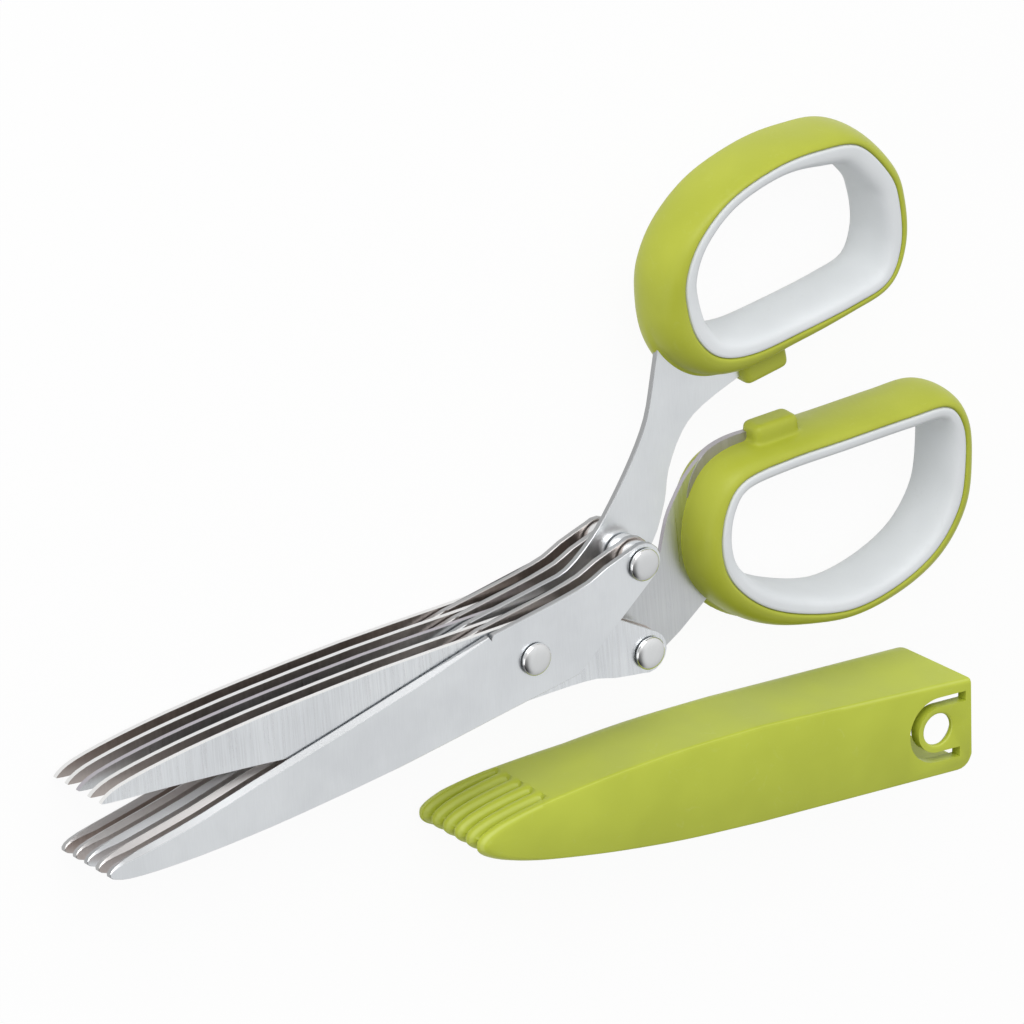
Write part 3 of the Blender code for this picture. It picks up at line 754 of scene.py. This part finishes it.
def addCover():
    outline = coverOutline(cover["half"], cover["reach"], cover["mouth"], cover["outline"],
                           (cover["farCorner"], cover["nearCorner"]), cover["spacing"])
    count = round(cover["height"] / cover["level"])
    tube = addTube("bladeCover", outline, [cover["height"] * k / count for k in range(count + 1)])
    shapeCover(tube, outline)
    tidyMesh(tube, cover["cornerAngle"])
    splitFace(tube, cover["height"] * mm, (0, 1, 0), [0])
    splitFace(tube, cover["height"] * mm, (1, 0, 0), cover["faceSplits"])
    low, high = cover["cavityHeights"]
    cutLow = high - cover["cutOverrun"]
    cutOrJoin(tube, addCavity(low, high), "DIFFERENCE")
    cutOrJoin(tube, addSlit(cutLow, cover["height"] + cover["cutOverrun"]), "DIFFERENCE")
    cutOrJoin(tube, addHole(cutLow, high), "DIFFERENCE")
    makeActive(tube)
    editMode(True)
    bpy.ops.mesh.select_all(action="SELECT")
    bpy.ops.mesh.fill_holes(sides=4)  # slivers that the cuts left open
    editMode(False)
    tidyMesh(tube, cover["lastCornerAngle"])
    placeMesh(tube, cover["slant"], cover["place"][0] * mm, cover["place"][1] * mm)
    rideOn(tube, "cover", "green_plastic", "blade_cover")
    return tube


coverPiece = addCover()
print("blade cover ready")

# Steel edge of the finger plate where it runs round the outside of its loop
tang = {
    "low": 8.2,
    "high": 9.5,
    "from": 104.0,  # directions in degrees from the middle of the loop
    "to": 158.0,
    "fade": (4.0, 12.0),
    "buried": 0.8,  # its ends and its inner side lie in the shell
    "inner": 0.9,
    "proud": 0.75,
    "lowProud": 0.8,  # so much prouder in the stretch with this start and length
    "lowRun": (125.0, 30.0),
    "cornerAngle": 30,
}


def addTang(name, loop):
    course = loopCourse(loop)
    cx, cy = loop["centre"]
    stations = [(math.degrees(math.atan2(y - cy, x - cx)) % 360, x, y, step)
                for (x, y), step in zip(course, outwardSteps(course))]
    stations.sort(key=lambda station: station[0])
    outer, inner = [], []
    for angle, x, y, step in stations:
        if tang["from"] < angle < tang["to"]:
            fade = min(shareOf(angle, tang["from"], tang["fade"][0]),
                       shareOf(tang["to"] - angle, 0, tang["fade"][1]))
            lower = tang["lowProud"] * shareOf(angle, *tang["lowRun"])
            edge = (shellThickness(loop, (x, y)) - tang["buried"]
                    + (tang["proud"] + lower + tang["buried"]) * fade)
            outer.append((x + step.x * edge, y + step.y * edge))
            inner.append((x + step.x * tang["inner"], y + step.y * tang["inner"]))
    piece = addTube(name, outer + inner[::-1], [tang["low"], tang["high"]])
    tidyMesh(piece, tang["cornerAngle"])
    placeMesh(piece, loop["turn"])
    rideOn(piece, loop["body"], "blade_steel")
    return piece


tangPiece = addTang("fingerTang", fingerLoop)
print("steel edge of the finger loop ready")


def addNode(tree, kind, place, **values):
    # A shader node: its fields are set by name, its sockets to a value or to another node's output
    node = tree.nodes.new(kind)
    node.location = place
    for key, value in values.items():
        label = key.replace("_", " ")
        if label not in node.inputs:
            setattr(node, key, value)
        elif isinstance(value, bpy.types.NodeSocket):
            tree.links.new(value, node.inputs[label])
        else:
            node.inputs[label].default_value = value
    return node


def addMath(tree, place, operation, *values, kind="ShaderNodeMath"):
    # A sum whose terms are numbers or outputs of other nodes
    node = addNode(tree, kind, place, operation=operation)
    for socket, value in zip(node.inputs, values):
        if isinstance(value, bpy.types.NodeSocket):
            tree.links.new(value, socket)
        else:
            socket.default_value = value
    return node.outputs["Value"]


def addRange(tree, place, value, fromLow, fromHigh, toLow=0.0, toHigh=1.0, kind="LINEAR"):
    node = addNode(tree, "ShaderNodeMapRange", place, interpolation_type=kind, Value=value, From_Min=fromLow,
                   From_Max=fromHigh, To_Min=toLow, To_Max=toHigh)
    return node.outputs["Result"]


def addMix(tree, place, share, low, high, kind="MIX"):
    # A colour between two, each written out or another node's output, by a share that varies
    mix = addNode(tree, "ShaderNodeMix", place, data_type="RGBA", blend_type=kind)
    tree.links.new(share, mix.inputs[0])
    for socket, colour in ((mix.inputs[6], low), (mix.inputs[7], high)):  # the two colour sockets
        if isinstance(colour, bpy.types.NodeSocket):
            tree.links.new(colour, socket)
        else:
            socket.default_value = (*colour, 1)
    return mix.outputs[2]


def addShaderMix(tree, place, share, first, second):
    mix = addNode(tree, "ShaderNodeMixShader", place, Fac=share)
    tree.links.new(first, mix.inputs[1])
    tree.links.new(second, mix.inputs[2])
    return mix.outputs[0]


def newGroup(name, inputs, outputs):
    # A shared effect: its sockets, an input node and an output node
    group = bpy.data.node_groups.new(name, "ShaderNodeTree")
    for label, kind, value in inputs:
        socket = group.interface.new_socket(label, in_out="INPUT", socket_type=kind)
        if value is not None:
            socket.default_value = value
    for label in outputs:
        group.interface.new_socket(label, in_out="OUTPUT", socket_type="NodeSocketFloat")
    given = addNode(group, "NodeGroupInput", (-900, 0)).outputs
    return group, given, addNode(group, "NodeGroupOutput", (700, 0))


def putOut(group, ending, **values):
    for key, value in values.items():
        group.links.new(value, ending.inputs[key])


# Fine grain of a moulded surface, slow mottling and sparse handling scuffs
grainGroup, given, ending = newGroup(
    "mouldedGrain",
    [("Vector", "NodeSocketVector", None), ("Grain Scale", "NodeSocketFloat", 1600.0),
     ("Mottle Scale", "NodeSocketFloat", 70.0)],
    ["Grain", "Mottle", "Scuffs"])
fine = addNode(grainGroup, "ShaderNodeTexNoise", (-500, 200), Vector=given["Vector"],
               Scale=given["Grain Scale"], Detail=3.0, Roughness=0.6)
slow = addNode(grainGroup, "ShaderNodeTexNoise", (-500, -50), Vector=given["Vector"],
               Scale=given["Mottle Scale"], Detail=2.0, Roughness=0.5)
scuff = addNode(grainGroup, "ShaderNodeTexNoise", (-500, -300), Vector=given["Vector"], Scale=260.0,
                Detail=4.0, Roughness=0.7, Distortion=1.6)
putOut(grainGroup, ending, Grain=fine.outputs["Fac"], Mottle=slow.outputs["Fac"],
       Scuffs=addRange(grainGroup, (-200, -300), scuff.outputs["Fac"], 0.60, 0.72))

# Ground lines drawn out along the vector's second axis, with a few longer scratches across
lineGroup, given, ending = newGroup(
    "brushedLines",
    [("Vector", "NodeSocketVector", None), ("Line Scale", "NodeSocketFloat", 2600.0),
     ("Stretch", "NodeSocketFloat", 40.0)],
    ["Lines", "Scratches", "Cloud"])
parts = addNode(lineGroup, "ShaderNodeSeparateXYZ", (-700, 100), Vector=given["Vector"]).outputs
narrow = addMath(lineGroup, (-700, -100), "DIVIDE", parts["Y"], given["Stretch"])
across = addNode(lineGroup, "ShaderNodeCombineXYZ", (-450, 100), X=parts["X"], Y=narrow, Z=parts["Z"])
drawn = addNode(lineGroup, "ShaderNodeTexNoise", (-200, 200), Vector=across.outputs["Vector"],
                Scale=given["Line Scale"], Detail=4.0, Roughness=0.65)
turned = addNode(lineGroup, "ShaderNodeMapping", (-450, -150), Vector=given["Vector"],
                 Rotation=(0.0, 0.0, math.radians(52)), Scale=(1900.0, 46.0, 46.0))
scratch = addNode(lineGroup, "ShaderNodeTexNoise", (-200, -150), Vector=turned.outputs["Vector"], Scale=1.0,
                  Detail=2.0, Roughness=0.5)
cloud = addNode(lineGroup, "ShaderNodeTexNoise", (-200, -400), Vector=given["Vector"], Scale=55.0,
                Detail=3.0, Roughness=0.55)
putOut(lineGroup, ending, Lines=drawn.outputs["Fac"], Cloud=cloud.outputs["Fac"],
       Scratches=addRange(lineGroup, (100, -150), scratch.outputs["Fac"], 0.70, 0.78))

# How much a surface point lies on a rim instead of on a broad flat face, and how much its normal tilts up
# along a fold, where a highlight is painted
rimGroup, given, ending = newGroup("rimMask", [("Sharpness", "NodeSocketFloat", 4.0)], ["Rim", "Fold"])
normal = addNode(rimGroup, "ShaderNodeTexCoord", (-700, 0)).outputs["Normal"]
upward = addNode(rimGroup, "ShaderNodeSeparateXYZ", (-500, 0), Vector=normal).outputs["Z"]
level = addMath(rimGroup, (-300, 100), "ABSOLUTE", upward)
level = addMath(rimGroup, (-100, 100), "POWER", level, given["Sharpness"])
rim = addMath(rimGroup, (100, 100), "SUBTRACT", 1.0, level)
rim.node.use_clamp = True
# Fold: normals tilted upwards, where the painted fold highlight goes
above = addMath(rimGroup, (-300, -100), "MAXIMUM", upward, 0.0)
squared = addMath(rimGroup, (-150, -100), "MULTIPLY", above, above)
leftOver = addMath(rimGroup, (0, -200), "SUBTRACT", 1.0, squared)
both = addMath(rimGroup, (150, -100), "MULTIPLY", squared, leftOver)
putOut(rimGroup, ending, Rim=rim, Fold=addRange(rimGroup, (300, -100), both, 0.12, 0.25, kind="SMOOTHSTEP"))


def newMaterial(name, **values):
    # A material whose shader has its plain values set on its own sockets
    material = bpy.data.materials.new(name)
    material.use_nodes = True
    shader = material.node_tree.nodes["Principled BSDF"]
    for key, value in values.items():
        shader.inputs[key.replace("_", " ")].default_value = value
    return material, material.node_tree, shader


def addPlaces(tree, turn=0.0):
    # Places on the piece itself, turned about the upright axis
    coordinates = addNode(tree, "ShaderNodeTexCoord", (-1500, 0))
    mapping = addNode(tree, "ShaderNodeMapping", (-1300, 0), Vector=coordinates.outputs["Object"],
                      Rotation=(0.0, 0.0, math.radians(turn)))
    return mapping.outputs["Vector"]


def addFinish(tree, shader, colour, shine, height, distance):
    tree.links.new(colour, shader.inputs["Base Color"])
    tree.links.new(shine, shader.inputs["Roughness"])
    bump = addNode(tree, "ShaderNodeBump", (-300, -300), Strength=1.0, Distance=distance * mm, Height=height)
    tree.links.new(bump.outputs["Normal"], shader.inputs["Normal"])


def mouldedPlastic(name, low, high, scuffed, roughness, grainScale, grainHeight, foldHighlight=None):
    material, tree, shader = newMaterial(name, Metallic=0.0, Specular_IOR_Level=0.3)
    grain = addNode(tree, "ShaderNodeGroup", (-1000, 0), node_tree=grainGroup, Vector=addPlaces(tree),
                    Grain_Scale=grainScale).outputs
    mottle = addRange(tree, (-800, 200), grain["Mottle"], 0.35, 0.65)
    body = addMix(tree, (-600, 200), mottle, low, high)
    scuffs = addRange(tree, (-600, 0), grain["Scuffs"], 0.0, 1.0, 0.0, 0.22)
    colour = addMix(tree, (-400, 200), scuffs, body, scuffed)
    # Painted highlight: a paler colour along the upper folds, where light would catch them
    if foldHighlight:  # paler along the folds
        rims = addNode(tree, "ShaderNodeGroup", (-600, 500), node_tree=rimGroup).outputs
        foldHighlightShare = addRange(tree, (-400, 500), rims["Fold"], 0.0, 1.0, 0.0, 0.32)
        colour = addMix(tree, (-200, 300), foldHighlightShare, colour, foldHighlight)
    shine = addRange(tree, (-600, -150), grain["Mottle"], 0.3, 0.7, *roughness)
    addFinish(tree, shader, colour, shine, grain["Grain"], grainHeight)
    return material


def groundSteel(name, turn, face, rim, roughness, lineScale, stretch, lineShare, lineHeight):
    # Sheet steel: ground lines across the faces; the rims are painted in a tone of their own, mostly darker,
    # as painted shade that narrows the highlights along them
    material, tree, shader = newMaterial(name, Metallic=1.0)
    lines = addNode(tree, "ShaderNodeGroup", (-1000, 0), node_tree=lineGroup, Vector=addPlaces(tree, turn),
                    Line_Scale=lineScale, Stretch=stretch).outputs
    rims = addNode(tree, "ShaderNodeGroup", (-1000, -400), node_tree=rimGroup).outputs
    shade = addRange(tree, (-800, 100), lines["Lines"], 0.3, 0.7, 0.5 - lineShare, 0.5 + lineShare)
    body = addMix(tree, (-600, 200), shade, [0.94 * c for c in face], [1.06 * c for c in face])
    clouds = addRange(tree, (-800, -100), lines["Cloud"], 0.4, 0.62)
    clouded = addMix(tree, (-450, 200), clouds, body, (0.93, 0.93, 0.935), "MULTIPLY")
    # Painted shade on the rims: the rim mask puts the rim tone where the surface turns away from the flat
    # face
    colour = addMix(tree, (-300, 200), rims["Rim"], clouded, rim)
    shine = addRange(tree, (-600, -200), lines["Lines"], 0.3, 0.7, *roughness)
    height = addMath(tree, (-600, -400), "SUBTRACT", lines["Lines"], lines["Scratches"])
    addFinish(tree, shader, colour, shine, height, lineHeight)
    return material


# Colours are linear, the two heights in millimetres, and turn is the way the lines run, in degrees
plastics = {
    "greenPlastic": {
        "low": (0.400, 0.440, 0.042), "high": (0.436, 0.478, 0.050), "scuffed": (0.48, 0.53, 0.13),
        "roughness": (0.36, 0.48), "grainScale": 1500.0, "grainHeight": 0.012},
    # Painted light: the cover's copy of the green plastic is lighter than the handles' copy, making up for
    # light the cover gets too little of
    "coverPlastic": {
        "low": (0.452, 0.513, 0.050), "high": (0.492, 0.558, 0.058), "scuffed": (0.53, 0.59, 0.15),
        # the fold colour is a painted highlight
        "foldHighlight": (0.62, 0.68, 0.20), "roughness": (0.34, 0.46), "grainScale": 1500.0, "grainHeight": 0.010},
    "paleLiner": {
        "low": (0.690, 0.715, 0.730), "high": (0.725, 0.750, 0.765), "scuffed": (0.62, 0.63, 0.64),
        "roughness": (0.50, 0.62), "grainScale": 2400.0, "grainHeight": 0.010},
}
steels = {
    "crossGroundSteel": {
        "turn": 2.0, "face": (0.90, 0.93, 0.955), "rim": (0.84, 0.84, 0.83), "roughness": (0.24, 0.38),
        "lineScale": 2600.0, "stretch": 45.0, "lineShare": 1.0, "lineHeight": 0.0016},
    # The thumb plates' rims are painted dark grey: a painted shadow line along their edges
    "satinSteel": {
        "turn": 4.0, "face": (0.90, 0.93, 0.955), "rim": (0.38, 0.385, 0.39), "roughness": (0.28, 0.36),
        "lineScale": 3600.0, "stretch": 14.0, "lineShare": 0.2, "lineHeight": 0.0006},
    # Painted shade: the plates that only show between their neighbours get a darker, warmer face, standing
    # in for the shade in the gaps between the plates
    "rolledSteel": {
        "turn": 2.0, "face": (0.60, 0.54, 0.51), "rim": (0.80, 0.80, 0.79), "roughness": (0.30, 0.42),
        "lineScale": 2600.0, "stretch": 45.0, "lineShare": 0.5, "lineHeight": 0.0012},
    "rolledThumbSteel": {
        "turn": 4.0, "face": (0.60, 0.54, 0.51), "rim": (0.42, 0.42, 0.42), "roughness": (0.30, 0.42),
        "lineScale": 2600.0, "stretch": 45.0, "lineShare": 0.5, "lineHeight": 0.0012},
    # Painted shade: a darker copy of the ground steel for the shank of finger_blade_3, which lies in shade
    "shankSteel": {
        "turn": 2.0, "face": (0.72, 0.74, 0.755), "rim": (0.46, 0.44, 0.47), "roughness": (0.26, 0.38),
        "lineScale": 2600.0, "stretch": 45.0, "lineShare": 0.6, "lineHeight": 0.0012},
    # Painted shade: the steel edge round the finger loop is painted dark grey for the shade under the
    # shell's bulge
    "tangSteel": {
        "turn": 2.0, "face": (0.50, 0.48, 0.51), "rim": (0.50, 0.48, 0.51), "roughness": (0.52, 0.62),
        "lineScale": 2600.0, "stretch": 45.0, "lineShare": 0.6, "lineHeight": 0.0012},
    "turnedSteel": {
        "turn": 35.0, "face": (0.85, 0.865, 0.87), "rim": (0.74, 0.74, 0.74), "roughness": (0.12, 0.19),
        "lineScale": 3000.0, "stretch": 20.0, "lineShare": 0.2, "lineHeight": 0.0003},
}
materials = {name: mouldedPlastic(name, **values) for name, values in plastics.items()}
materials.update({name: groundSteel(name, **values) for name, values in steels.items()})


def setFinish(pieces, name):
    for piece in pieces:
        piece.data.materials.clear()
        piece.data.materials.append(materials[name])


setFinish(shells, "greenPlastic")
setFinish([coverPiece], "coverPlastic")
setFinish(liners, "paleLiner")
setFinish([tangPiece], "tangSteel")
setFinish(rivets + rings, "turnedSteel")
for blade in blades:
    finger = blade.name.startswith("finger")
    # the shank gets the darker copy of the steel, as painted shade
    if blade.name == "fingerBlade3":
        setFinish([blade], "shankSteel")
    # these plates get the painted gap shade
    elif blade.name[-1] in "245":  # the plates that only show between their neighbours
        setFinish([blade], "rolledSteel" if finger else "rolledThumbSteel")
    else:
        setFinish([blade], "crossGroundSteel" if finger else "satinSteel")
print("materials ready")

# Camera along the photograph's line of sight
view = {
    "right": Vector((0.80415, -0.10414, 0.58523)),
    "up": Vector((0.34990, 0.87883, -0.32440)),
    "lens": 1000.0,  # long enough to be close to a parallel view
    "width": 188.24,
    "aimRight": -4.228,
    "aimUp": 26.93,
    "aimHeight": 18.0,
    "clip": (0.05, 20),  # shares of the distance
}
bpy.ops.object.camera_add()
camera = bpy.context.object
camera.name = "camera"
right = view["right"].normalized()
up = (view["up"] - right * view["up"].dot(right)).normalized()
back = right.cross(up)
aim = Vector((0, 0, view["aimHeight"] * mm)) + right * (view["aimRight"] * mm) + up * (view["aimUp"] * mm)
camera.data.lens = view["lens"]
reach = view["width"] * mm * view["lens"] / camera.data.sensor_width
axes = Matrix((right, up, back)).transposed().to_4x4()
camera.matrix_world = Matrix.Translation(aim + back * reach) @ axes
camera.data.clip_start, camera.data.clip_end = (reach * share for share in view["clip"])
bpy.context.scene.camera = camera

# Plain pale floor, soft studio light that comes mostly from the far side and from above
studio = {
    "floorSize": 30.0,
    "floorLevel": -0.2 * mm,
    "floorColour": (0.86, 0.86, 0.85),
    "floorGlow": 0.94,  # share of plain white where the camera or a reflection sees the floor
    "skyMean": 0.65,
    "skySlope": 0.34,
    "skySide": Vector((0.25, 0.75, 0.60)),  # brighter this way, darker the other
    "darkSide": Vector((-0.48, -0.48, 0.70)),  # unlit part of the studio
    "darkDepth": 0.5,
    "darkAngles": (52, 14),  # degrees from its middle, where it begins and where it is full
    "lamps": [("keyLamp", (-0.22, 0.86, 0.60), 0.7, 5.0), ("sideLamp", (-0.95, -0.10, 0.36), 0.6, 1.3)],
    "lampAim": Vector((0.03, 0, 0)),
}
white = (1, 1, 1, 1)
bpy.ops.mesh.primitive_plane_add(size=studio["floorSize"], location=(0, 0, studio["floorLevel"]))
floor = bpy.context.object
floor.name = "floor"
floorMaterial, tree, shader = newMaterial("paleFloor", Base_Color=(*studio["floorColour"], 1), Roughness=0.9,
                                          Specular_IOR_Level=0.1)
path = addNode(tree, "ShaderNodeLightPath", (-600, 400)).outputs
seen = addMath(tree, (-400, 400), "MAXIMUM", path["Is Camera Ray"], path["Is Glossy Ray"])
glowShare = addMath(tree, (-200, 400), "MULTIPLY", seen, studio["floorGlow"])
glow = addNode(tree, "ShaderNodeEmission", (0, -200), Color=white)
lit = addShaderMix(tree, (300, 200), glowShare, shader.outputs[0], glow.outputs[0])
tree.links.new(lit, tree.nodes["Material Output"].inputs["Surface"])
floor.data.materials.append(floorMaterial)

world = bpy.data.worlds.new("studio")
bpy.context.scene.world = world
world.use_nodes = True
tree = world.node_tree
sky = tree.nodes["Background"]
sky.inputs["Color"].default_value = white
ray = addNode(tree, "ShaderNodeTexCoord", (-1000, 0)).outputs["Generated"]
brightWay = addMath(tree, (-800, 100), "DOT_PRODUCT", ray, studio["skySide"].normalized(),
                    kind="ShaderNodeVectorMath")
darkWay = addMath(tree, (-800, -100), "DOT_PRODUCT", ray, studio["darkSide"].normalized(),
                  kind="ShaderNodeVectorMath")
slope = addMath(tree, (-600, 100), "MULTIPLY_ADD", brightWay, studio["skySlope"], studio["skyMean"])
edge, full = (math.cos(math.radians(angle)) for angle in studio["darkAngles"])
dark = addRange(tree, (-600, -100), darkWay, edge, full, 0.0, studio["darkDepth"], kind="SMOOTHSTEP")
strength = addMath(tree, (-400, 0), "SUBTRACT", slope, dark)
tree.links.new(strength, sky.inputs["Strength"])
backdrop = addNode(tree, "ShaderNodeBackground", (-200, -200), Color=white)
path = addNode(tree, "ShaderNodeLightPath", (-200, 300)).outputs
skyMix = addShaderMix(tree, (100, 0), path["Is Camera Ray"], sky.outputs[0], backdrop.outputs[0])
tree.links.new(skyMix, tree.nodes["World Output"].inputs["Surface"])

for name, place, size, power in studio["lamps"]:
    bpy.ops.object.light_add(type="AREA", location=place)
    lamp = bpy.context.object
    lamp.name = name
    lamp.data.size = size
    lamp.data.energy = power
    lamp.rotation_euler = (studio["lampAim"] - Vector(place)).to_track_quat("-Z", "Y").to_euler()
bpy.context.scene.view_settings.view_transform = "Standard"
print("camera and studio ready")
